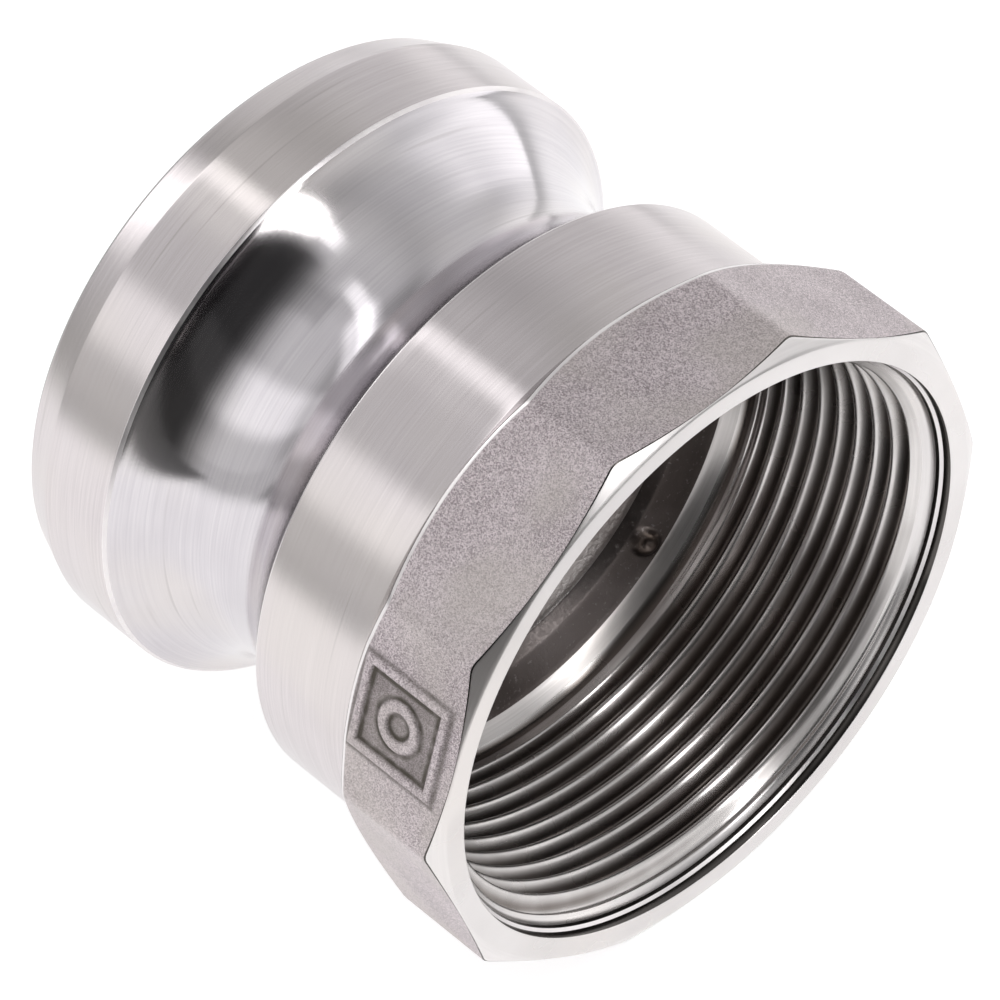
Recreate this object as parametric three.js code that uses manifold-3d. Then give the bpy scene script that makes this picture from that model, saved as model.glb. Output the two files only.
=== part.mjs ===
// Camlock adapter, type A, 2 inch: grooved head one end, female G 2 pipe thread the other.
// One stainless casting with machined faces. Millimetres, +Z up.
// The axis lies along X: thread mouth at +X, sealing face of the head at -X.
// Radii and depths below are measured from the axis and from the mouth face inwards.
import * as THREE from 'three';
import { mergeVertices } from 'three/addons/utils/BufferGeometryUtils.js';
import Module from 'manifold-3d';

const wasm = await Module();
wasm.setup();

// ---- overall ----
const LENGTH = 58.0;             // mouth face to sealing face
const SEGMENTS = 60;             // facets round every turned surface
const MOUTH_X = LENGTH / 2;      // origin at the middle of the length

// ---- wrench section ----
const FLATS = 10;
const ACROSS_FLATS = 65.6;
const FLAT_LENGTH = 13.2;        // depth where the flats end at their middle
const FLAT_BACK_PLANE = 13.3;    // just behind the flats, where the round collar takes over
const ENVELOPE_R = 34.7;         // just outside the corners
const RIM_R = 32.6;              // outer edge of the flat end face
const RIM_CHAMFER = 1.2;         // depth of the turned chamfer that clips the corners
const BACK_CHAMFER = 1.9;        // depth of the soft rounding behind the corners

// ---- collar, groove, head ----
const COLLAR_R = 30.8;
const COLLAR_START = 14.1;
const COLLAR_END = 27.1;
const COLLAR_LIP = 0.5;          // rounded lip at the groove
const NECK_R = 25.5;             // smallest radius in the cam groove
const GROOVE_END = 46.0;
const GROOVE_CENTRE = 36.27;     // depth of the smallest radius
const GROOVE_ARC_R = 11.16;      // radius of the groove's round profile
const GROOVE_STEPS = 12;
const HEAD_R = 31.5;             // standard 63.0 mm head of a 2 inch cam coupling
const HEAD_EDGE = 0.3;           // broken edge at the groove
const LEAD_IN_START = 54.0;
const LEAD_IN_R = 30.1;          // radius at the end of the lead-in taper
const LEAD_IN_END = 57.5;
const SEAL_OUTER_R = 29.6;       // outer edge of the sealing face

// ---- G 2 internal thread ----
const PITCH = 25.4 / 11;
const THREAD_MAJOR_R = 59.614 / 2;
const THREAD_MINOR_R = 56.656 / 2;
const THREAD_CREST = PITCH / 6;  // truncated crest and root widths
const THREAD_START = 1.2;
const THREAD_FULL_END = 21.2;
const THREAD_END = 22.6;
const TURN_STEPS = 48;
const CREST_ANGLE = (-59.5 * Math.PI) / 180; // a crest passes this angle ...
const CREST_DEPTH = 5.83;                    // ... at this depth

// ---- bore ----
const MOUTH_R = 30.45;
const MOUTH_INNER_R = 30.1;       // second land, behind a small step
const MOUTH_STEP = 0.9;
const COUNTERSINK_START = 2.0;
const COUNTERSINK_END = 3.5;
const RELIEF_R = 28.6;
const RELIEF_START = 21.4;
const RELIEF_END = 23.3;
const BORE_R = 22.5;
const BORE_START = 27.8;
const BORE_CHAMFER = 1.0;

// ---- raised cast marks ----
const MARK_FLAT_ANGLE = (162 * Math.PI) / 180;
const MARK_DEPTH = 7.0;          // middle of the mark, from the mouth face
const MARK_LENGTH = 10.4;
const MARK_WIDTH = 10.0;
const MARK_RIB = 0.9;
const MARK_RING_R = 2.5;
const MARK_HEIGHT = 0.35;
const PIP_R = 1.2;
const PIP_CENTRE_R = 25.2;
const PIP_ANGLE = (-49 * Math.PI) / 180;
const PIP_TOP = 25.4;

const CAST_STEEL = new THREE.MeshStandardMaterial({
  name: 'stainless_steel',
  color: 0xb9b2b3,
  metalness: 1.0,
  roughness: 0.38,
});

// ---------- geometry to solid and back ----------

function toSolid(geometry) {
  const bare = geometry.index ? geometry.toNonIndexed() : geometry.clone();
  bare.deleteAttribute('normal');
  bare.deleteAttribute('uv');
  const merged = mergeVertices(bare, 1e-4);
  const mesh = new wasm.Mesh({
    numProp: 3,
    vertProperties: new Float32Array(merged.attributes.position.array),
    triVerts: new Uint32Array(merged.index.array),
  });
  return new wasm.Manifold(mesh);
}

function toGeometry(solid) {
  const mesh = solid.getMesh();
  const geometry = new THREE.BufferGeometry();
  const position = new THREE.BufferAttribute(new Float32Array(mesh.vertProperties), 3);
  geometry.setAttribute('position', position);
  geometry.setIndex(new THREE.BufferAttribute(new Uint32Array(mesh.triVerts), 1));
  geometry.computeVertexNormals();
  return geometry;
}

// A body of revolution about X from [radius, depth] pairs that start and end on the axis.
function turned(profile) {
  const points = profile.map(([radius, depth]) => new THREE.Vector2(radius, MOUTH_X - depth));
  const lathe = new THREE.LatheGeometry(points.reverse(), SEGMENTS);
  lathe.rotateZ(-Math.PI / 2);
  return toSolid(lathe);
}

// ---------- outside ----------

// Concave arc of the cam groove, as [radius, depth] pairs from the collar lip to the head.
function grooveProfile() {
  const from = Math.asin((COLLAR_END - GROOVE_CENTRE) / GROOVE_ARC_R);
  const to = Math.asin((GROOVE_END - GROOVE_CENTRE) / GROOVE_ARC_R);
  const rows = [];
  for (let i = 0; i <= GROOVE_STEPS; i += 1) {
    const angle = from + ((to - from) * i) / GROOVE_STEPS;
    const radius = NECK_R + GROOVE_ARC_R * (1 - Math.cos(angle));
    rows.push([radius, GROOVE_CENTRE + GROOVE_ARC_R * Math.sin(angle)]);
  }
  return rows;
}

// The full turned outline: wrench envelope, collar, groove, head and lead-in.
function outsideOfRevolution() {
  const flatR = ACROSS_FLATS / 2;
  return turned([
    [0, 0],
    [RIM_R, 0],
    [ENVELOPE_R, RIM_CHAMFER],
    [ENVELOPE_R, FLAT_LENGTH - BACK_CHAMFER],
    [flatR + 1.05, FLAT_LENGTH - 0.75],
    [flatR, FLAT_LENGTH],
    [COLLAR_R + 0.45, FLAT_LENGTH + 0.4],
    [COLLAR_R, COLLAR_START],
    [COLLAR_R, COLLAR_END - COLLAR_LIP],
    [COLLAR_R - 0.15, COLLAR_END - 0.15],
    ...grooveProfile(),
    [HEAD_R, GROOVE_END + HEAD_EDGE],
    [HEAD_R, LEAD_IN_START],
    [LEAD_IN_R, LEAD_IN_END],
    [SEAL_OUTER_R, LENGTH],
    [0, LENGTH],
  ]);
}

// Ten-sided bar for the wrench section, flats square to Z.
function wrenchBar() {
  const cornerR = ACROSS_FLATS / 2 / Math.cos(Math.PI / FLATS);
  const shape = new THREE.Shape();
  for (let i = 0; i < FLATS; i += 1) {
    const angle = ((2 * i + 1) * Math.PI) / FLATS;
    const x = cornerR * Math.cos(angle);
    const y = cornerR * Math.sin(angle);
    if (i === 0) shape.moveTo(x, y);
    else shape.lineTo(x, y);
  }
  const depth = FLAT_BACK_PLANE + 1;
  const bar = new THREE.ExtrudeGeometry(shape, { depth, bevelEnabled: false });
  bar.rotateY(Math.PI / 2);
  bar.translate(MOUTH_X - FLAT_BACK_PLANE, 0, 0);
  return toSolid(bar);
}

// Plain bar that lets the turned outline through behind the flats.
function roundBar() {
  const length = LENGTH - FLAT_BACK_PLANE + 1;
  const bar = new THREE.CylinderGeometry(40, 40, length, 24);
  bar.rotateZ(-Math.PI / 2);
  bar.translate(MOUTH_X - FLAT_BACK_PLANE - length / 2, 0, 0);
  return toSolid(bar);
}

// ---------- inside ----------

// Right-hand helical core: the space that a matching male thread would fill.
function threadCore() {
  const profile = [
    [THREAD_MINOR_R, -THREAD_CREST / 2],
    [THREAD_MINOR_R, THREAD_CREST / 2],
    [THREAD_MAJOR_R, PITCH / 2 - THREAD_CREST / 2],
    [THREAD_MAJOR_R, PITCH / 2 + THREAD_CREST / 2],
  ];
  const turns = Math.ceil((THREAD_END - THREAD_START) / PITCH) + 3;
  const firstX = MOUTH_X - CREST_DEPTH - (turns - 3) * PITCH;
  const rows = profile.length;
  const vertices = [];
  const faces = [];
  // One continuous ribbon, a pitch wide, wound upwards along X.
  const columns = turns * TURN_STEPS;
  for (let i = 0; i <= columns; i += 1) {
    const angle = (2 * Math.PI * i) / TURN_STEPS + CREST_ANGLE;
    const climb = (PITCH * i) / TURN_STEPS;
    for (const [radius, offset] of profile) {
      vertices.push(firstX + climb + offset, radius * Math.cos(angle), radius * Math.sin(angle));
    }
  }
  const at = (column, row) => {
    const shift = Math.floor(row / rows);
    return (column + shift * TURN_STEPS) * rows + (row % rows);
  };
  const last = columns - TURN_STEPS;
  for (let i = 0; i < last; i += 1) {
    for (let k = 0; k < rows; k += 1) {
      faces.push(at(i, k), at(i + 1, k), at(i + 1, k + 1));
      faces.push(at(i, k), at(i + 1, k + 1), at(i, k + 1));
    }
  }
  // Fans to the axis close the two ends; the trim below cuts them away.
  const tail = vertices.length / 3;
  vertices.push(firstX - PITCH, 0, 0);
  const nose = tail + 1;
  vertices.push(firstX + turns * PITCH + PITCH, 0, 0);
  for (let i = 0; i < TURN_STEPS; i += 1) {
    faces.push(tail, at(i + 1, 0), at(i, 0));
    faces.push(nose, at(last - TURN_STEPS + i, rows), at(last - TURN_STEPS + i + 1, rows));
  }
  for (let k = 0; k < rows; k += 1) {
    faces.push(tail, at(0, k), at(0, k + 1));
    faces.push(nose, at(last, k + 1), at(last, k));
  }
  const core = new THREE.BufferGeometry();
  core.setAttribute('position', new THREE.Float32BufferAttribute(vertices, 3));
  core.setIndex(faces);
  const trim = turned([
    [0, THREAD_START],
    [THREAD_MAJOR_R + 0.3, THREAD_START],
    [THREAD_MAJOR_R + 0.3, THREAD_FULL_END],
    [THREAD_MINOR_R, THREAD_END],
    [0, THREAD_END],
  ]);
  return toSolid(core).intersect(trim);
}

// Mouth, countersink, relief, shoulder and through bore in one turned cutter.
function boreCutter() {
  return turned([
    [0, -1],
    [MOUTH_R, -1],
    [MOUTH_R, 0],
    [MOUTH_R - 0.05, MOUTH_STEP],
    [MOUTH_INNER_R, MOUTH_STEP + 0.2],
    [MOUTH_INNER_R - 0.05, COUNTERSINK_START],
    [THREAD_MINOR_R - 0.05, COUNTERSINK_END],
    [THREAD_MINOR_R - 0.8, COUNTERSINK_END + 0.6],
    [THREAD_MINOR_R - 0.8, RELIEF_START - 0.6],
    [RELIEF_R, RELIEF_START],
    [RELIEF_R, RELIEF_END],
    [RELIEF_R - 1.4, RELIEF_END + 1.7],
    [BORE_R + 1.1, BORE_START - 1.2],
    [BORE_R, BORE_START],
    [BORE_R, LENGTH - BORE_CHAMFER],
    [BORE_R + BORE_CHAMFER + 1, LENGTH + 1],
    [0, LENGTH + 1],
  ]);
}

// ---------- raised cast marks ----------

// Plain frame with a ring in it, standing a little proud of one wrench flat.
function flatMark() {
  const a = MARK_LENGTH / 2;
  const b = MARK_WIDTH / 2;
  const frame = new THREE.Shape();
  frame.moveTo(-a, -b);
  frame.lineTo(a, -b);
  frame.lineTo(a, b);
  frame.lineTo(-a, b);
  const window = new THREE.Path();
  window.moveTo(-a + MARK_RIB, -b + MARK_RIB);
  window.lineTo(-a + MARK_RIB, b - MARK_RIB);
  window.lineTo(a - MARK_RIB, b - MARK_RIB);
  window.lineTo(a - MARK_RIB, -b + MARK_RIB);
  frame.holes.push(window);
  const ring = new THREE.Shape();
  ring.absarc(0, 0, MARK_RING_R, 0, 2 * Math.PI, false);
  const eye = new THREE.Path();
  eye.absarc(0, 0, MARK_RING_R - MARK_RIB - 0.2, 0, 2 * Math.PI, true);
  ring.holes.push(eye);
  const depth = 1 + MARK_HEIGHT;
  const options = { depth, bevelEnabled: false, curveSegments: 8 };
  const mark = toSolid(new THREE.ExtrudeGeometry(frame, options));
  const ringSolid = toSolid(new THREE.ExtrudeGeometry(ring, options));
  return mark.add(ringSolid);
}

// Moves a mark drawn in XY, standing up along Z, on to the wrench flat at the given angle.
function ontoFlat(solid, angle) {
  const place = new THREE.Matrix4();
  const outward = new THREE.Vector3(0, Math.cos(angle), Math.sin(angle));
  const along = new THREE.Vector3(1, 0, 0);
  const across = new THREE.Vector3().crossVectors(outward, along);
  place.makeBasis(along, across, outward);
  const reach = ACROSS_FLATS / 2 - 1;
  place.setPosition(MOUTH_X - MARK_DEPTH, reach * outward.y, reach * outward.z);
  return solid.transform(place.elements);
}

// Small raised pip on the shoulder behind the thread.
function shoulderPip() {
  const length = 2.4;
  const pip = new THREE.CylinderGeometry(PIP_R, PIP_R, length, 16);
  pip.rotateZ(-Math.PI / 2);
  const y = PIP_CENTRE_R * Math.cos(PIP_ANGLE);
  const z = PIP_CENTRE_R * Math.sin(PIP_ANGLE);
  pip.translate(MOUTH_X - PIP_TOP - length / 2, y, z);
  return toSolid(pip);
}

// ---------- the part ----------

function adapterBody() {
  const outline = wrenchBar().add(roundBar()).intersect(outsideOfRevolution());
  const marked = outline.add(ontoFlat(flatMark(), MARK_FLAT_ANGLE));
  const hollow = boreCutter().add(threadCore());
  const body = marked.subtract(hollow).add(shoulderPip());
  const mesh = new THREE.Mesh(toGeometry(body), CAST_STEEL);
  mesh.name = 'adapter_body';
  return mesh;
}

const part = new THREE.Group();
part.name = 'camlock_adapter';
part.add(adapterBody());

export default part;
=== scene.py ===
"""Visual model of the camlock adapter: fine mesh, machined and cast steel, studio."""

import math

import bpy
import numpy as np
from mathutils import Matrix, Vector


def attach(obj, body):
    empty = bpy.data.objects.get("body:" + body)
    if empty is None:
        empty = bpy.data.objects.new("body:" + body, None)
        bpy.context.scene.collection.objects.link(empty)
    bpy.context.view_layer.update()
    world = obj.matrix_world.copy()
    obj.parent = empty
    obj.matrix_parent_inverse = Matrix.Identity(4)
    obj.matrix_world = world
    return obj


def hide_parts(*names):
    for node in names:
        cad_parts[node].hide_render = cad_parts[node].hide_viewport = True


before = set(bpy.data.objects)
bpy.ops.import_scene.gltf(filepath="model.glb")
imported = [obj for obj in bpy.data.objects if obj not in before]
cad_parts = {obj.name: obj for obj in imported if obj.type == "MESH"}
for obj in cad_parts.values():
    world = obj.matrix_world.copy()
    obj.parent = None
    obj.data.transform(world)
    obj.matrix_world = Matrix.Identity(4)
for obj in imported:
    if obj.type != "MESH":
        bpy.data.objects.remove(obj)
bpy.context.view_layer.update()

MM = 0.001

# ---- sizes, in millimetres; radius from the axis, depth from the mouth face ----
LENGTH = 58.0
MOUTH_X = LENGTH / 2
FLATS = 10
APOTHEM = 32.8
FLAT_LENGTH = 13.2
RIM_R = 32.6
RIM_SLOPE = 1.75
EDGE_REACH = 0.134
EDGE_DEPTH = 0.07
BACK_SLOPE = 1.15
COLLAR_R = 30.8
COLLAR_END = 27.1
COLLAR_SHOULDER_R = 31.1
NECK_R = 25.5
GROOVE_END = 46.0
GROOVE_CENTRE = 36.27
GROOVE_ARC_R = 11.16
HEAD_R = 31.5
LEAD_IN_START = 54.0
LEAD_IN_R = 30.1
LEAD_IN_END = 57.5
SEAL_OUTER_R = 29.6
PITCH = 25.4 / 11
THREAD_MAJOR_R = 59.614 / 2
THREAD_MINOR_R = 56.656 / 2
CREST_ANGLE = math.radians(-59.5)
CREST_DEPTH = 5.83
THREAD_FROM = 2.0
THREAD_TO = 22.8
COUNTERSINK_R = 29.95
COUNTERSINK_SLOPE = 1.1
RUNOUT_R = 29.9
RUNOUT_SLOPE = 1.06
RUNOUT_FROM = 21.2
RELIEF_FROM = 21.3
MOUTH_R = 30.45
MOUTH_INNER_R = 30.1
MOUTH_STEP = 0.9
RELIEF_R = 28.6
RELIEF_END = 23.3
BORE_R = 22.5
BORE_START = 27.8
MARK_ANGLE = math.radians(162)
MARK_DEPTH = 7.0
MARK_HALF_LENGTH = 5.2
MARK_HALF_WIDTH = 5.0
MARK_RIB = 0.9
MARK_RING = (1.4, 2.5)
MARK_HEIGHT = 0.35
PIP_ANGLE = math.radians(-49)
PIP_CENTRE_R = 25.2
PIP_R = 1.2
PIP_HEIGHT = 0.55

PER_FLAT = 32  # mesh columns on each wrench flat

# ---- columns of the mesh: closer together at the corners of the wrench section ----
_u = np.arange(FLATS * PER_FLAT) / PER_FLAT
_in_flat = _u % 1.0
_spread = _in_flat - 0.6 * np.sin(2 * np.pi * _in_flat) / (2 * np.pi)
_base = 2 * np.pi / FLATS * (np.floor(_u) + _spread)
_mark = MARK_ANGLE + np.radians(np.arange(-11, 11.01, 0.22))
_pip = PIP_ANGLE + 2 * np.pi + np.radians(np.arange(-4.4, 4.41, 0.4))
_clear = (np.abs(_base - MARK_ANGLE) > math.radians(11.3)) & (
    np.abs(_base - PIP_ANGLE - 2 * np.pi) > math.radians(4.9)
)
ANGLE = np.sort(np.concatenate([_base[_clear], _mark, _pip]))


def smooth_min(a, b, k):
    """The lesser of a and b, blended where they differ by less than k."""
    h = np.clip(0.5 + 0.5 * (b - a) / k, 0, 1)
    return b * (1 - h) + a * h - k * h * (1 - h)


def smooth_max(a, b, k):
    return -smooth_min(-a, -b, k)


def decagon(angle):
    """Radius of the ten-sided section with softly rounded corners."""
    step = 2 * np.pi / FLATS
    off = (angle % step) - step / 2
    own = APOTHEM / np.cos(off)
    other = APOTHEM / np.cos(step - np.abs(off))
    return smooth_min(own, other, 0.4)


def soft_step(value, edge, width):
    """0 below the edge, 1 above it, with a smooth rise of the given width."""
    t = np.clip((value - edge) / width + 0.5, 0, 1)
    return t * t * (3 - 2 * t)


def mark_relief(angle, depth):
    """Height of the raised cast mark, and its darkening beside the frame and ring and across the pad:
    painted shade and dirt.
    """
    across = APOTHEM * np.tan(np.clip(angle - MARK_ANGLE, -0.4, 0.4))
    along = depth - MARK_DEPTH
    box = np.maximum(np.abs(along) - MARK_HALF_LENGTH, np.abs(across) - MARK_HALF_WIDTH)
    out = np.hypot(along, across)
    frame_line = soft_step(-np.abs(box + MARK_RIB / 2), -MARK_RIB / 2, 0.3)
    inner, outer = MARK_RING
    ring = soft_step(-np.abs(out - (inner + outer) / 2), -(outer - inner) / 2, 0.4)
    raised = np.maximum(frame_line, ring)
    pad = soft_step(-box, -0.9, 1.4)
    height = MARK_HEIGHT * (0.22 * pad + 0.78 * raised)
    by_ring = soft_step(-np.abs(out - (inner + outer) / 2), -1.0, 0.5) * (1 - ring)
    by_frame = soft_step(-np.abs(box + MARK_RIB / 2), -0.95, 0.5) * (1 - frame_line)
    pad_shade_and_dirt = soft_step(-box, 0.1, 0.5) * (1 - raised)
    # painted shade and dirt: darker inside the pad and in a band beside the raised frame and ring
    shade_and_dirt = 0.5 * pad_shade_and_dirt + 0.6 * np.maximum(by_ring, by_frame)
    return height, np.clip(shade_and_dirt * (1 - raised), 0, 1)


def pip_relief(angle, radius):
    """Height of the small round pip cast on the shoulder."""
    away = np.hypot(
        radius * np.cos(angle) - PIP_CENTRE_R * math.cos(PIP_ANGLE),
        radius * np.sin(angle) - PIP_CENTRE_R * math.sin(PIP_ANGLE),
    )
    return PIP_HEIGHT * soft_step(-away, -PIP_R, 0.7) * (1 - 0.5 * soft_step(-away, -0.5, 0.4))


DECAGON = decagon(ANGLE)


def rounded(points, start=0):
    """Profile [(radius, depth, fillet radius)] with each inner corner rounded by an arc."""
    out = []
    for i, (r, s, f) in enumerate(points):
        if f <= 0 or i in (0, len(points) - 1):
            out.append((r, s))
            continue
        p = np.array([r, s], float)
        a = np.array(points[i - 1][:2], float) - p
        b = np.array(points[i + 1][:2], float) - p
        la, lb = np.linalg.norm(a), np.linalg.norm(b)
        a, b = a / la, b / lb
        half = math.acos(max(-1, min(1, float(a @ b)))) / 2
        reach = min(f / math.tan(half), 0.48 * la, 0.48 * lb)
        radius = reach * math.tan(half)
        centre = p + (a + b) / np.linalg.norm(a + b) * (radius / math.sin(half))
        p0, p1 = p + a * reach, p + b * reach
        v0, v1 = p0 - centre, p1 - centre
        sweep = math.acos(max(-1, min(1, float(v0 @ v1) / radius**2)))
        steps = max(2, int(math.degrees(sweep) / 14) + 1)
        side = np.array([-v0[1], v0[0]])
        if side @ v1 < 0:
            side = -side
        for k in range(steps + 1):
            t = sweep * k / steps
            q = centre + v0 * math.cos(t) + side * math.sin(t)
            out.append((float(q[0]), float(q[1])))
    return out


def filled(points, step):
    """Adds rows so that none are further apart than step."""
    out = [points[0]]
    for p, q in zip(points, points[1:]):
        n = max(1, math.ceil(math.dist(p, q) / step))
        for k in range(1, n + 1):
            out.append((p[0] + (q[0] - p[0]) * k / n, p[1] + (q[1] - p[1]) * k / n))
    return out


def thread_radius(depth, angle):
    """Internal Whitworth thread, rounded crests and roots, right-hand about +X."""
    flank = math.radians(27.5)
    tip = 0.1373 * PITCH
    half_tip = tip * math.cos(flank)
    crest_depth = CREST_DEPTH - PITCH * (angle - CREST_ANGLE) / (2 * np.pi)
    x = np.abs((depth - crest_depth + PITCH / 2) % PITCH - PITCH / 2)
    y = PITCH / 2 - x
    crest = THREAD_MINOR_R + tip - np.sqrt(np.maximum(tip**2 - x**2, 0))
    root = THREAD_MAJOR_R - tip + np.sqrt(np.maximum(tip**2 - y**2, 0))
    rise = tip * (1 - math.sin(flank))
    slope = THREAD_MINOR_R + rise + (x - half_tip) / math.tan(flank)
    return np.where(x < half_tip, crest, np.where(y < half_tip, root, slope))


# ---- rows of the mesh: (radius per column, depth per column, finish, darkening per column: painted shade and dirt) ----
TURNED, FACED, CAST, BORED, THREAD, BORE, RELIEF, SKIN, EDGE, PAINTED_SHADE = range(10)
rows = []


def add_ring(radius, depth, finish, shade_and_dirt=0):
    """One row. Radius, depth and darkening (painted shade and dirt) are each a number or one value
    per column.
    """
    ones = np.ones_like(ANGLE)
    rows.append((radius * ones, depth * ones, finish, shade_and_dirt * ones))


def add_profile(points, finish):
    for r, s in points:
        add_ring(r, s, finish)


def wrench_rows():
    """The ten flats, from the chamfer at the mouth to the rounding at the back."""
    front = (DECAGON - RIM_R) / RIM_SLOPE
    back = FLAT_LENGTH - (DECAGON - APOTHEM) / BACK_SLOPE

    def at(depth, finish):
        cone = RIM_R + RIM_SLOPE * depth
        tail = APOTHEM + BACK_SLOPE * (FLAT_LENGTH - depth)
        r = smooth_min(smooth_min(DECAGON, cone, 0.16), tail, 0.9)
        height, shade_and_dirt = mark_relief(ANGLE, depth)
        add_ring(r + height, depth, finish, shade_and_dirt)

    for share in (0.0, 0.2, 0.4, 0.6, 0.8, 0.92):
        at(EDGE_DEPTH + (front - EDGE_DEPTH) * share, FACED)
    near = np.minimum(1, front / 0.3)
    for offset in (0.0, 0.05, 0.1, 0.18, 0.3):
        # the first rows behind the chamfer edge take a near-black finish: a painted shade line
        at(front + offset * near, PAINTED_SHADE if offset < 0.08 else CAST)
    a, b = front + 0.3 * near, back - 0.7
    for k in range(1, 81):
        at(a + (b - a) * k / 80, CAST)
    for offset in (-0.55, -0.42, -0.3, -0.2, -0.1, 0.0, 0.1):
        depth = np.minimum(back + offset, FLAT_LENGTH + 0.02 * (offset + 0.5))
        # the last rows at the back take the worn edge, then a near-black finish: a painted shade line
        at(depth, CAST if offset < -0.35 else EDGE if offset < 0.05 else PAINTED_SHADE)


def groove_points():
    """Concave arc of the cam groove, from the collar to the head."""
    first = math.asin((COLLAR_END - GROOVE_CENTRE) / GROOVE_ARC_R)
    last = math.asin((GROOVE_END - GROOVE_CENTRE) / GROOVE_ARC_R)
    out = []
    for i in range(49):
        angle = first + (last - first) * i / 48
        r = NECK_R + GROOVE_ARC_R * (1 - math.cos(angle))
        out.append((r, GROOVE_CENTRE + GROOVE_ARC_R * math.sin(angle)))
    return out


def thread_rows():
    """Countersink, thread and run-out, from the mouth inwards."""
    n = int((THREAD_TO - THREAD_FROM) / (PITCH / 20))
    for i in range(1, n):
        s = THREAD_FROM + (THREAD_TO - THREAD_FROM) * i / n
        r = thread_radius(s, ANGLE)
        countersink = COUNTERSINK_R - COUNTERSINK_SLOPE * (s - THREAD_FROM)
        runout = RUNOUT_R - RUNOUT_SLOPE * max(0, s - RUNOUT_FROM)
        r = smooth_min(r, runout, 0.06)
        r = smooth_max(r, countersink, 0.05)
        if s > RELIEF_FROM:
            r = smooth_max(r, RELIEF_R * min(1, (s - RELIEF_FROM) / 0.3 * 0.01 + 0.99), 0.05)
        # darkening grows toward the thread roots and fades out near the mouth
        root = np.clip((r - THREAD_MINOR_R - 0.2) / (THREAD_MAJOR_R - THREAD_MINOR_R), 0, 1)
        root = root * soft_step(s, THREAD_FROM + 1.1, 0.5)
        add_ring(r, s, FACED if s < THREAD_FROM + 0.5 else THREAD, root)


def build_rows():
    add_profile([(MOUTH_R + 0.08, 0.0), (MOUTH_R + 0.25, 0.0)], FACED)
    add_profile(filled([(MOUTH_R + 0.5, 0.0), (RIM_R - EDGE_REACH, 0.0)], 0.6), FACED)
    add_profile([(RIM_R - 0.07, 0.009), (RIM_R - 0.008, 0.026), (RIM_R + 0.05, 0.05)], FACED)
    wrench_rows()
    collar = rounded(
        [
            (APOTHEM - 0.25, FLAT_LENGTH + 0.12, 0),
            (COLLAR_SHOULDER_R, FLAT_LENGTH + 0.45, 0.5),
            (COLLAR_R, FLAT_LENGTH + 1.1, 0.8),
            (COLLAR_R, COLLAR_END - 0.5, 0.3),
            (COLLAR_R - 0.5, COLLAR_END, 0),
        ]
    )
    for r, s in filled(collar, 1.2):
        # the very lip of the collar takes a near-black finish: a painted shade line
        lip = PAINTED_SHADE if s > COLLAR_END - 0.2 else EDGE
        add_ring(r, s, lip if s > COLLAR_END - 0.52 else TURNED)
    add_profile(groove_points()[1:], BORED)
    head = rounded(
        [
            (HEAD_R - 0.3, GROOVE_END, 0),
            (HEAD_R, GROOVE_END + 0.3, 0.12),
            (HEAD_R, LEAD_IN_START, 0.4),
            (LEAD_IN_R, LEAD_IN_END, 0.3),
            (SEAL_OUTER_R, LENGTH, 0.2),
            (BORE_R + 1.0, LENGTH, 0.15),
            (BORE_R, LENGTH - 1.0, 0.15),
            (BORE_R, BORE_START, 1.0),
            (BORE_R + 1.1, BORE_START - 1.2, 0.8),
            (RELIEF_R - 1.4, RELIEF_END + 1.7, 2.2),
            (RELIEF_R, RELIEF_END, 2.0),
            (RELIEF_R, THREAD_TO, 0),
        ]
    )
    head = filled(head, 0.5)
    for r, s in head[1:]:
        outside = r > SEAL_OUTER_R - 0.3
        at_groove = r > HEAD_R - 0.29 and s < GROOVE_END + 0.36
        if s > LENGTH - 0.01:
            add_ring(r, s, FACED)
        elif at_groove:
            add_ring(r, s, EDGE)
        elif s > LEAD_IN_END + 0.1 and outside:
            # the rounding into the seal face takes a near-black finish: a painted shade line
            add_ring(r, s, PAINTED_SHADE)
        elif outside:
            add_ring(r, s, TURNED)
        elif r < BORE_R + 0.25:
            add_ring(r, s, SKIN)
        elif r < RELIEF_R - 1.45:
            lift = pip_relief(ANGLE, r) if s < BORE_START else 0
            add_ring(r, s - lift, BORE, 0.8 * lift)
        elif r < RELIEF_R - 0.35:
            add_ring(r, s, RELIEF)
        else:
            # the relief's cylinder takes the thread finish, darkened by 0.6
            add_ring(r, s, THREAD, 0.6)
    before = len(rows)
    thread_rows()
    rows[before:] = rows[before:][::-1]
    mouth = rounded(
        [
            (COUNTERSINK_R, THREAD_FROM, 0),
            (30.04, MOUTH_STEP + 0.6, 0),
            (MOUTH_INNER_R, MOUTH_STEP + 0.25, 0.06),
            (MOUTH_R - 0.05, MOUTH_STEP, 0.06),
            (MOUTH_R, 0.05, 0),
            (MOUTH_R + 0.08, 0.0, 0),
        ]
    )
    for r, s in mouth[:-1]:
        at_step = MOUTH_STEP - 0.02 < s < MOUTH_STEP + 0.19
        # the inner land near the face takes a near-black finish, painted shade; its deeper rows are
        # faced steel
        inner_land = FACED if s > MOUTH_STEP + 0.55 else PAINTED_SHADE
        add_ring(r, s, EDGE if at_step else inner_land)


build_rows()


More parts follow.
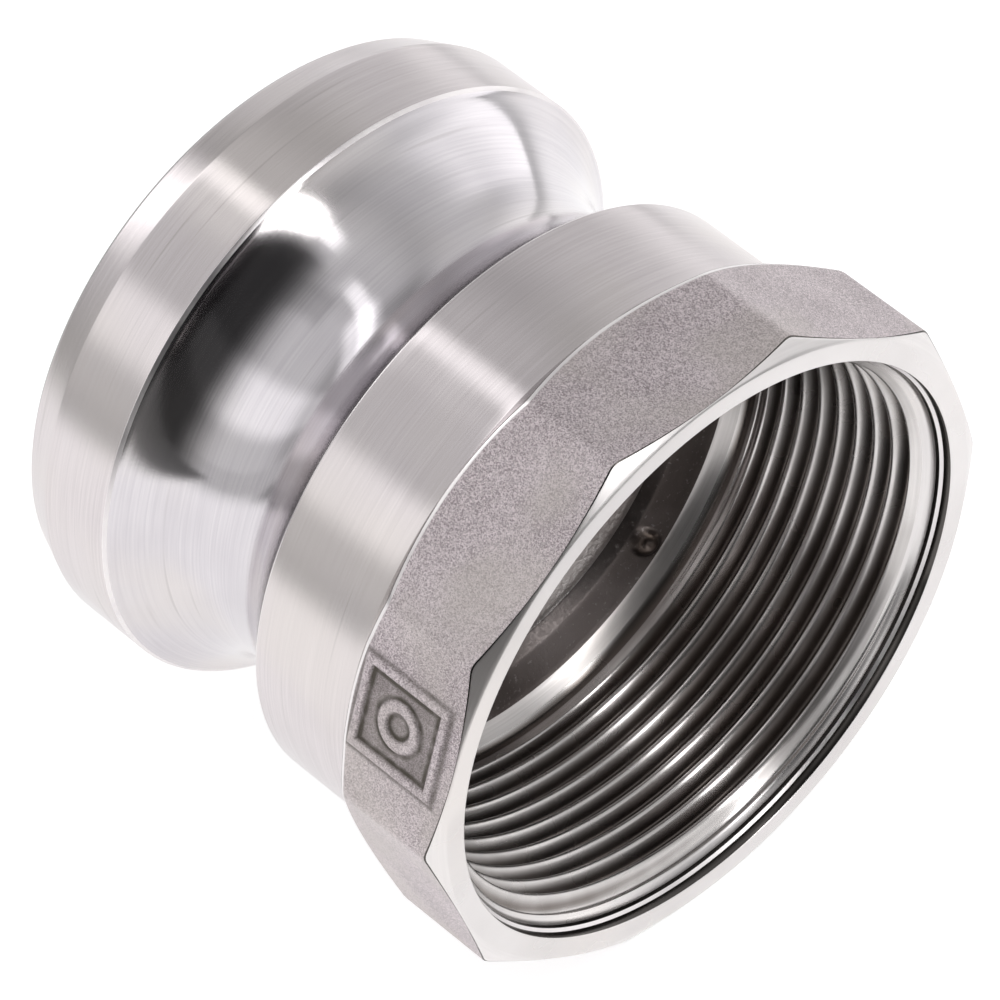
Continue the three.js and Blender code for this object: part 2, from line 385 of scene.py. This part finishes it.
def skin_mesh():
    """The casting as one closed mesh: the rows joined in order, and the last to the first."""
    n, m = len(rows), len(ANGLE)
    coords = np.empty((n, m, 3))
    for i, (r, depth, _, _) in enumerate(rows):
        coords[i, :, 0] = (MOUTH_X - depth) * MM
        coords[i, :, 1] = r * np.cos(ANGLE) * MM
        coords[i, :, 2] = r * np.sin(ANGLE) * MM
    i, j = np.meshgrid(np.arange(n), np.arange(m), indexing="ij")
    i2, j2 = (i + 1) % n, (j + 1) % m
    quads = np.stack([i * m + j, i * m + j2, i2 * m + j2, i2 * m + j], -1).reshape(-1, 4)
    mesh = bpy.data.meshes.new("adapter_casting")
    mesh.from_pydata(coords.reshape(-1, 3).tolist(), [], quads.tolist())
    finish = np.array([row[2] for row in rows])
    # a band of quads takes the finish of the row it ends on
    band = np.roll(finish, -1)
    index = np.repeat(band, m)
    mesh.polygons.foreach_set("material_index", index.astype(np.int32))
    mesh.polygons.foreach_set("use_smooth", np.ones(n * m, bool))
    shade_and_dirt = mesh.attributes.new("shade_and_dirt", "FLOAT", "POINT")
    shade_and_dirt.data.foreach_set("value", np.concatenate([row[3] for row in rows]).astype(np.float32))
    mesh.update()
    return mesh


# ---- materials ----


class Graph:
    """Short helper for building a shader's nodes."""

    def __init__(self, name):
        self.material = bpy.data.materials.new(name)
        self.material.use_nodes = True
        self.tree = self.material.node_tree
        self.shader = self.tree.nodes["Principled BSDF"]
        coords = self.tree.nodes.new("ShaderNodeTexCoord")
        self.position = coords.outputs["Object"]

    def put(self, socket, value):
        if hasattr(value, "is_output"):
            self.tree.links.new(value, socket)
        elif isinstance(value, tuple) and len(value) == 3 and socket.type == "RGBA":
            socket.default_value = (*value, 1)
        else:
            socket.default_value = value

    def math(self, operation, *values):
        node = self.tree.nodes.new("ShaderNodeMath")
        node.operation = operation
        for socket, value in zip(node.inputs, values):
            self.put(socket, value)
        return node.outputs[0]

    def noise(self, scale, detail=2.0, rough=0.5):
        """Noise with its own scale along X, Y and Z (per metre)."""
        stretch = self.tree.nodes.new("ShaderNodeVectorMath")
        stretch.operation = "MULTIPLY"
        self.put(stretch.inputs[0], self.position)
        stretch.inputs[1].default_value = scale
        node = self.tree.nodes.new("ShaderNodeTexNoise")
        node.inputs["Scale"].default_value = 1.0
        node.inputs["Detail"].default_value = detail
        node.inputs["Roughness"].default_value = rough
        self.put(node.inputs["Vector"], stretch.outputs[0])
        return node.outputs["Factor" if "Factor" in node.outputs else "Fac"]

    def cells(self, scale):
        node = self.tree.nodes.new("ShaderNodeTexVoronoi")
        node.inputs["Scale"].default_value = scale
        self.put(node.inputs["Vector"], self.position)
        grey = self.tree.nodes.new("ShaderNodeSeparateXYZ")
        self.put(grey.inputs[0], node.outputs["Color"])
        return node.outputs["Distance"], grey.outputs[0]

    def between(self, value, low, high, to_low=0.0, to_high=1.0):
        node = self.tree.nodes.new("ShaderNodeMapRange")
        node.interpolation_type = "SMOOTHSTEP"
        numbers = (value, low, high, to_low, to_high)
        for socket, number in zip(node.inputs, numbers):
            self.put(socket, number)
        return node.outputs[0]

    def mix(self, factor, first, second):
        node = self.tree.nodes.new("ShaderNodeMix")
        node.data_type = "RGBA"
        self.put(node.inputs[0], factor)
        self.put(node.inputs[6], first)
        self.put(node.inputs[7], second)
        return node.outputs[2]

    def bump(self, height, distance, below=None):
        node = self.tree.nodes.new("ShaderNodeBump")
        node.inputs["Distance"].default_value = distance
        self.put(node.inputs["Height"], height)
        if below is not None:
            self.put(node.inputs["Normal"], below)
        return node.outputs[0]

    def shade_and_dirt(self):
        node = self.tree.nodes.new("ShaderNodeAttribute")
        node.attribute_name = "shade_and_dirt"
        return node.outputs["Fac"]

    def lathe_tangent(self, anisotropy):
        tangent = self.tree.nodes.new("ShaderNodeTangent")
        tangent.direction_type = "RADIAL"
        tangent.axis = "X"
        self.put(self.shader.inputs["Tangent"], tangent.outputs[0])
        self.shader.inputs["Anisotropic"].default_value = anisotropy
        self.shader.inputs["Anisotropic Rotation"].default_value = 0.25

    def finish(self, color, roughness, normal=None):
        self.put(self.shader.inputs["Metallic"], 1.0)
        self.put(self.shader.inputs["Base Color"], color)
        self.put(self.shader.inputs["Roughness"], roughness)
        if normal is not None:
            self.put(self.shader.inputs["Normal"], normal)
        return self.material


def lathe_steel(name, light, dark, roughness, anisotropy, line_depth, spread=0.05):
    """Turned stainless: fine rings round the axis, cloudy tone, a few deeper lines."""
    g = Graph(name)
    fine = g.noise((5200, 70, 70), 3.0, 0.6)
    coarse = g.noise((900, 25, 25), 2.0)
    cloud = g.noise((60, 60, 60), 3.0)
    speck = g.noise((2600, 2600, 2600), 1.0)
    tone = g.math("MULTIPLY_ADD", fine, 0.45, g.math("MULTIPLY", cloud, 0.55))
    color = g.mix(g.between(tone, 0.3, 0.7), dark, light)
    warm = g.between(g.noise((45, 45, 45), 2.0), 0.42, 0.66, 0.0, 0.55)
    color = g.mix(warm, color, tuple(light[0] * share for share in (0.98, 0.915, 0.875)))
    scored = g.between(g.noise((1500, 40, 40), 1.0), 0.68, 0.76)
    color = g.mix(g.math("MULTIPLY", scored, 0.2), color, (0.32, 0.29, 0.28))
    rough = g.between(cloud, 0.3, 0.7, roughness - spread, roughness + spread)
    height = g.math("ADD", fine, g.math("MULTIPLY", coarse, 2.0))
    height = g.math("ADD", height, g.math("MULTIPLY", speck, 0.25))
    g.lathe_tangent(anisotropy)
    return g.finish(color, rough, g.bump(height, line_depth))


def blasted_steel():
    """The as-cast skin of the wrench flats: glittering bright and dark grains."""
    g = Graph("cast_steel")
    grain = g.noise((5600, 5600, 5600), 3.0, 0.65)
    pits, glint = g.cells(9000)
    cloud = g.noise((110, 110, 110), 3.0)
    tone = g.math("MULTIPLY_ADD", grain, 0.35, g.math("MULTIPLY", cloud, 0.25))
    tone = g.math("MULTIPLY_ADD", glint, 0.4, tone)
    color = g.mix(g.between(tone, 0.22, 0.78), (0.27, 0.228, 0.24), (0.78, 0.7, 0.722))
    warm = g.between(g.noise((70, 70, 70), 2.0), 0.45, 0.65)
    color = g.mix(g.math("MULTIPLY", warm, 0.4), color, (0.56, 0.52, 0.48))
    scale = g.between(g.noise((500, 500, 500), 2.0), 0.3, 0.6, 0.75, 1.1)
    # darkening from the mesh attribute: painted shade and dirt beside the cast mark
    color = g.mix(g.math("MULTIPLY", g.shade_and_dirt(), scale), color, (0.1, 0.088, 0.075))
    rough = g.between(glint, 0.0, 1.0, 0.28, 0.44)
    height = g.math("MULTIPLY_ADD", pits, 0.8, grain)
    return g.finish(color, rough, g.bump(height, 5.0e-5, g.bump(cloud, 1.6e-4)))


def worn_edge():
    """Thin rubbed-bright line along the corners."""
    g = Graph("worn_edge")
    rub = g.noise((160, 160, 160), 3.0)
    color = g.mix(g.between(rub, 0.3, 0.6), (0.74, 0.7, 0.71), (0.85, 0.815, 0.815))
    return g.finish(color, g.between(rub, 0.3, 0.7, 0.28, 0.42), g.bump(rub, 1e-5))


def thread_steel():
    """Tapped thread: bright crests, darker brown down in the roots."""
    g = Graph("thread_steel")
    lines = g.noise((4200, 60, 60), 2.0)
    cloud = g.noise((90, 90, 90), 3.0)
    darkening = g.between(g.math("MULTIPLY_ADD", cloud, 0.7, g.shade_and_dirt()), 0.25, 1.0)
    color = g.mix(lines, (0.6, 0.57, 0.56), (0.8, 0.77, 0.76))
    color = g.mix(g.math("MULTIPLY", darkening, 0.92), color, (0.15, 0.125, 0.112))
    rough = g.between(cloud, 0.3, 0.7, 0.2, 0.32)
    g.lathe_tangent(0.85)
    return g.finish(color, rough, g.bump(lines, 3e-6))


def bore_steel(name, low, high, grit):
    """Through bore and shoulder: dark, lightly scaled casting skin; on the shoulder the colours are
    darker still, painted shade deep in the bore.
    """
    g = Graph(name)
    grain = g.noise((2400, 2400, 2400), 3.0, 0.6)
    cloud = g.noise((80, 80, 80), 3.0)
    color = g.mix(g.between(cloud, 0.35, 0.65), low, high)
    color = g.mix(g.between(grain, 0.58, 0.8, 0.0, 0.5), color, (0.4, 0.37, 0.36))
    color = g.mix(g.shade_and_dirt(), color, (0.1, 0.07, 0.05))
    return g.finish(color, g.between(grain, 0.3, 0.7, 0.32, 0.46), g.bump(grain, grit))


MATERIALS = [
    lathe_steel("turned_steel", (0.72, 0.672, 0.682), (0.6, 0.555, 0.565), 0.2, 1.0, 5e-6),
    lathe_steel("faced_steel", (0.82, 0.79, 0.785), (0.71, 0.68, 0.675), 0.3, 0.5, 4e-6),
    blasted_steel(),
    lathe_steel("groove_steel", (0.72, 0.69, 0.71), (0.6, 0.57, 0.6), 0.13, 0.8, 4e-6, 0.03),
    thread_steel(),
    # the shoulder's near-black colours are painted shade deep in the bore
    bore_steel("shoulder_steel", (0.09, 0.075, 0.07), (0.16, 0.14, 0.135), 2e-5),
    lathe_steel("relief_steel", (0.78, 0.75, 0.74), (0.56, 0.53, 0.52), 0.33, 0.3, 4e-6),
    bore_steel("bore_steel", (0.34, 0.31, 0.3), (0.55, 0.52, 0.51), 9e-5),
    worn_edge(),
    # near-black steel: painted shade lines along edges and in the mouth
    lathe_steel("painted_shade_steel", (0.13, 0.12, 0.115), (0.07, 0.064, 0.06), 0.2, 0.4, 2e-6),
]

casting = bpy.data.objects.new("adapter_casting", skin_mesh())
bpy.context.scene.collection.objects.link(casting)
for material in MATERIALS:
    casting.data.materials.append(material)
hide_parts("adapter_body")
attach(casting, "root")

# ---- floor ----
FLOOR_R = 2.5
CARD_R = 0.45


def floor_disc(name, radius, height):
    bpy.ops.mesh.primitive_circle_add(
        vertices=96, radius=radius, fill_type="NGON", location=(0, 0, height)
    )
    disc = bpy.context.object
    disc.name = name
    return disc


def build_floor():
    """Plain pale floor."""
    floor = floor_disc("floor", FLOOR_R, -APOTHEM * MM)
    floor.visible_glossy = False
    g = Graph("floor_paper")
    g.put(g.shader.inputs["Base Color"], (0.55, 0.55, 0.55))
    g.shader.inputs["Roughness"].default_value = 0.9
    g.shader.inputs["Emission Color"].default_value = (1, 1, 1, 1)
    g.shader.inputs["Emission Strength"].default_value = 0.7
    floor.data.materials.append(g.material)


def build_reflected_floor():
    """The floor as the steel mirrors it: pale under the part, black card toward +X."""
    card = floor_disc("reflected_floor", CARD_R, -APOTHEM * MM + 0.0001)
    card.visible_camera = False
    card.visible_diffuse = False
    card.visible_shadow = False
    g = Graph("reflected_paper")
    split = g.tree.nodes.new("ShaderNodeSeparateXYZ")
    g.put(split.inputs[0], g.position)
    x, y = split.outputs[0], split.outputs[1]
    squares = [g.math("MULTIPLY", axis, axis) for axis in (x, y)]
    distance = g.math("SQRT", g.math("ADD", *squares))
    toward = g.math("MULTIPLY_ADD", y, -0.25, x)
    lit = g.math(
        "MULTIPLY",
        g.between(toward, 0.085, 0.13, 1.0, 0.08),
        g.between(distance, 0.16, 0.34, 1.0, 0.5),
    )
    # a darker patch beyond the head, seen mirrored in its taper
    beyond = g.between(x, -0.2, -0.12, 0.75, 0.0)
    beyond = g.math("MULTIPLY", beyond, g.between(y, -0.22, -0.15))
    beyond = g.math("MULTIPLY", beyond, g.between(y, -0.06, 0.0, 1.0, 0.0))
    lit = g.math("MULTIPLY", lit, g.math("SUBTRACT", 1.0, beyond))
    g.put(g.shader.inputs["Base Color"], g.mix(lit, (0.02, 0.02, 0.02), (0.55, 0.55, 0.55)))
    g.shader.inputs["Roughness"].default_value = 0.9
    g.shader.inputs["Emission Color"].default_value = (1, 1, 1, 1)
    g.put(g.shader.inputs["Emission Strength"], g.math("MULTIPLY", lit, 0.7))
    card.data.materials.append(g.material)


build_floor()
build_reflected_floor()


# ---- studio light ----
def build_world():
    """A grey studio round the part. Angles are degrees about X, up from +Y."""
    world = bpy.data.worlds.new("studio")
    bpy.context.scene.world = world
    world.use_nodes = True
    nodes, links = world.node_tree.nodes, world.node_tree.links

    def make(kind, values, operation=None):
        node = nodes.new(kind)
        if operation:
            node.operation = operation
        if kind == "ShaderNodeMapRange":
            node.interpolation_type = "SMOOTHSTEP"
        for socket, value in zip(node.inputs, values):
            if hasattr(value, "is_output"):
                links.new(value, socket)
            else:
                socket.default_value = value
        return node.outputs[0]

    def calc(operation, *values):
        return make("ShaderNodeMath", values, operation)

    def step(value, edge, soft):
        return make("ShaderNodeMapRange", (value, edge - soft, edge + soft, 0.0, 1.0))

    def band(value, low, high, soft):
        rise = step(value, low, soft)
        fall = calc("SUBTRACT", 1.0, step(value, high, soft))
        return calc("MULTIPLY", rise, fall)

    def add(level, amount, *masks):
        for mask in masks:
            amount = calc("MULTIPLY", amount, mask)
        return calc("ADD", level, amount)

    def shade(level, amount, *masks):
        for mask in masks:
            amount = calc("MULTIPLY", amount, mask)
        return calc("MULTIPLY", level, calc("SUBTRACT", 1.0, amount))

    direction = nodes.new("ShaderNodeTexCoord").outputs["Generated"]
    split = nodes.new("ShaderNodeSeparateXYZ")
    links.new(direction, split.inputs[0])
    x, y, z = split.outputs
    angle = calc("MULTIPLY", calc("ARCTAN2", z, y), 180 / math.pi)
    behind = calc("MULTIPLY", x, -1.0)
    above = step(z, 0.02, 0.02)

    level = calc("ADD", 0.62, 0.0)
    level = add(level, 0.42, band(angle, -60.0, 6.0, 14.0))
    level = add(level, 0.4, band(angle, -60.0, 34.0, 12.0), band(x, -0.25, 0.62, 0.12))
    level = add(level, 0.12, band(angle, -60.0, 40.0, 22.0))
    level = shade(level, 0.2, band(angle, 54.0, 70.0, 12.0))
    level = shade(level, 0.2, band(angle, 40.0, 90.0, 12.0), step(x, 0.6, 0.2))
    level = add(level, 0.1, band(angle, 104.0, 200.0, 6.0))
    level = add(level, 0.5, band(angle, 140.0, 163.0, 5.0))
    level = shade(level, 0.35, band(angle, 50.0, 200.0, 12.0), step(behind, 0.78, 0.1))
    level = shade(level, 0.15, step(behind, 0.93, 0.04))
    # the dark side the camera looks from
    camera_side = step(x, 0.3, 0.33)
    past_edge = step(calc("MULTIPLY_ADD", x, 0.2, calc("MULTIPLY", y, -1.0)), 0.115, 0.06)
    level = shade(level, 0.95, band(angle, 60.0, 215.0, 4.0), past_edge, camera_side)
    overhead_gap = calc("MULTIPLY", band(y, -0.4, -0.18, 0.06), band(x, -0.25, 0.5, 0.1))
    level = shade(level, 0.32, overhead_gap, above)
    level = shade(level, 0.95, band(angle, -215.0, -150.0, 5.0), camera_side)
    level = shade(level, 0.9, step(x, 0.95, 0.03))
    # two long lamps overhead, one beyond each end of the part
    far_lamp = calc("MULTIPLY", band(y, -0.12, 0.0, 0.035), above)
    level = add(level, 0.8, far_lamp, step(behind, 0.2, 0.15))
    level = add(level, 0.75, band(y, -0.23, 0.03, 0.06), above, step(behind, 0.62, 0.09))
    level = add(level, 1.0, band(y, -0.2, 0.12, 0.06), above, step(behind, 0.92, 0.02))
    aside = calc("SUBTRACT", y, calc("MULTIPLY", x, 0.13))
    near_lamp = calc("MULTIPLY", band(aside, 0.0, 0.11, 0.02), above)
    level = add(level, 1.3, near_lamp, step(x, 0.36, 0.15))
    level = add(level, 5.0, band(aside, -0.02, 0.12, 0.03), above, step(x, 0.72, 0.08))
    background = nodes["Background"]
    links.new(level, background.inputs[0])


build_world()

OVERHEAD_POWER = 1.0
overhead = bpy.data.lights.new("overhead", "AREA")
overhead.shape = "DISK"
overhead.size = 0.8
overhead.energy = OVERHEAD_POWER
lamp = bpy.data.objects.new("overhead", overhead)
lamp.location = (0.05, -0.05, 0.7)
lamp.visible_glossy = False
lamp.visible_camera = False
bpy.context.scene.collection.objects.link(lamp)

# ---- camera ----
AZIMUTH, ELEVATION, ROLL = 47.958, 48.324, -2.214
DISTANCE = 727.05
TARGET = Vector((1.624, -0.079, -1.121)) * MM
az, el = math.radians(AZIMUTH), math.radians(ELEVATION)
back = Vector((math.sin(az) * math.cos(el), -math.cos(az) * math.cos(el), math.sin(el)))
right = Vector((math.cos(az), math.sin(az), 0))
up = back.cross(right)
roll = math.radians(ROLL)
right, up = right * math.cos(roll) + up * math.sin(roll), up * math.cos(roll) - right * math.sin(roll)
camera = bpy.data.objects.new("camera", bpy.data.cameras.new("camera"))
bpy.context.scene.collection.objects.link(camera)
turn = Matrix((right, up, back)).transposed().to_4x4()
camera.matrix_world = Matrix.Translation(TARGET + back * DISTANCE * MM) @ turn
camera.data.sensor_width = 36
camera.data.lens = 288
camera.data.clip_start = 0.01
camera.data.clip_end = 20
bpy.context.scene.camera = camera

bpy.context.scene.view_settings.view_transform = "Standard"
